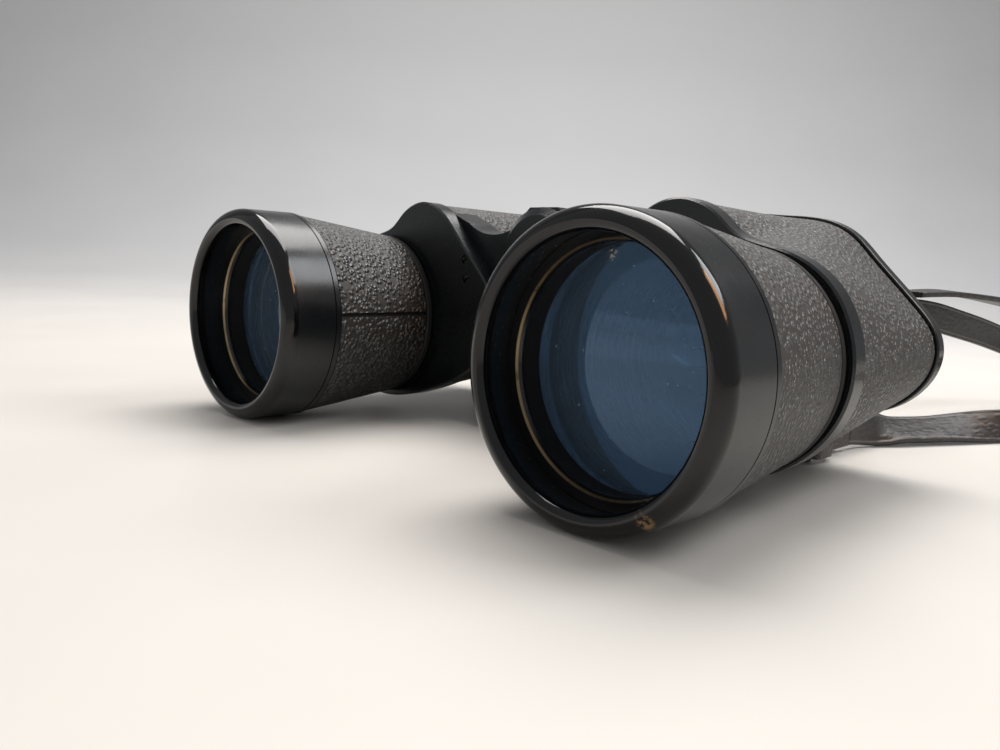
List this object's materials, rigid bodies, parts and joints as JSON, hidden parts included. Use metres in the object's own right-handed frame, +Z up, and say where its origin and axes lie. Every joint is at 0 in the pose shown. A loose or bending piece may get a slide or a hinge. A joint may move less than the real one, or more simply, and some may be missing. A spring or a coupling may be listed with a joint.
{
  "type": "binoculars",
  "caption": "Porro-prism binoculars with 50 mm objectives, pebbled leatherette, centre focus, folding centre hinge and a leather neck strap.",
  "frame": {"origin": "under the middle of the body, strap aside, at the level of the surface it stands on", "axes": "+X towards the user's left barrel, +Y from the objectives towards the eyepieces, +Z up"},
  "size_m": [0.2783, 0.341, 0.066],
  "materials": {
    "black_enamel": "glossy black enamel with worn edges",
    "satin_black": "satin black paint",
    "matt_black": "matt black anti-reflection paint",
    "leatherette": "pebble grain, black",
    "coated_glass": "blue anti-reflection coating",
    "clear_glass": "polished",
    "prism_glass": "polished, ground sides",
    "brass": "dull brass",
    "steel": "bright steel",
    "black_screw": "blackened screw heads",
    "spring_steel": "spring steel",
    "eyecup_black": "polished hard plastic",
    "strap_leather": "grained black leather"
  },
  "bodies": {
    "left_barrel": {"left_objective_bezel": "black_enamel", "left_retaining_ring": "brass", "left_objective_crown": "coated_glass", "left_objective_flint": "clear_glass", "left_lens_cell": "matt_black", "left_objective_tube": "matt_black", "left_tube_leatherette": "leatherette", "left_prism_housing": "satin_black", "left_housing_leatherette": "leatherette", "left_housing_screws": "black_screw", "left_prism_shelf": "matt_black", "left_front_prism": "prism_glass", "left_rear_prism": "prism_glass", "left_prism_clips": "spring_steel", "left_rear_cover": "satin_black", "left_ocular_sleeve": "satin_black", "left_strap_end": "strap_leather", "left_strap_rivets": "brass", "hinge_axle": "steel", "hinge_cap": "satin_black", "eye_distance_scale": "satin_black", "wheel_retainer": "steel", "strap_left": "strap_leather", "strap_right": "strap_leather", "strap_coil": "strap_leather", "strap_tail": "strap_leather"},
    "right_barrel": {"right_objective_bezel": "black_enamel", "right_retaining_ring": "brass", "right_objective_crown": "coated_glass", "right_objective_flint": "clear_glass", "right_lens_cell": "matt_black", "right_objective_tube": "matt_black", "right_tube_leatherette": "leatherette", "right_prism_housing": "satin_black", "right_housing_leatherette": "leatherette", "right_housing_screws": "black_screw", "right_prism_shelf": "matt_black", "right_front_prism": "prism_glass", "right_rear_prism": "prism_glass", "right_prism_clips": "spring_steel", "right_rear_cover": "satin_black", "right_ocular_sleeve": "satin_black", "right_strap_end": "strap_leather", "right_strap_rivets": "brass"},
    "focus_wheel": {"focus_wheel": "satin_black"},
    "left_ocular": {"left_ocular_barrel": "black_enamel", "left_field_lens": "clear_glass", "left_bridge_arm": "satin_black", "left_eyecup": "eyecup_black", "left_eye_lens": "coated_glass", "left_ocular_head": "black_enamel", "focus_spindle": "steel", "bridge_cap": "satin_black"},
    "right_ocular": {"right_ocular_barrel": "black_enamel", "right_field_lens": "clear_glass", "right_bridge_arm": "satin_black"},
    "dioptre_ring": {"dioptre_ring": "satin_black"},
    "right_eye_optics": {"right_eyecup": "eyecup_black", "right_eye_lens": "coated_glass"}
  },
  "joints": [
    {"name": "eye_distance", "type": "hinge", "parent": "left_barrel", "child": "right_barrel", "pos_m": [0, 0, 0.05], "axis": [0, 1, 0], "range_deg": [-30, 22]},
    {"name": "focus_turn", "type": "hinge", "parent": "left_barrel", "child": "focus_wheel", "pos_m": [0, 0, 0.05], "axis": [0, 1, 0], "range_deg": [-204, 204]},
    {"name": "left_focus_slide", "type": "slide", "parent": "left_barrel", "child": "left_ocular", "axis": [0, 1, 0], "range_m": [-0.005, 0.005]},
    {"name": "right_focus_slide", "type": "slide", "parent": "right_barrel", "child": "right_ocular", "axis": [0, 1, 0], "range_m": [-0.0051, 0.0051]},
    {"name": "dioptre_turn", "type": "hinge", "parent": "right_ocular", "child": "dioptre_ring", "pos_m": [-0.0335, 0, 0.0345], "axis": [0, 1, 0], "range_deg": [-122, 122]},
    {"name": "dioptre_slide", "type": "slide", "parent": "right_ocular", "child": "right_eye_optics", "axis": [0, 1, 0], "range_m": [-0.0012, 0.0012]}
  ],
  "couplings": [
    {"joint": "focus_turn", "follows": "left_focus_slide", "rad_per_m": 698.13},
    {"joint": "right_focus_slide", "follows": "left_focus_slide", "ratio": 1},
    {"joint": "dioptre_turn", "follows": "dioptre_slide", "rad_per_m": 1745.3}
  ]
}
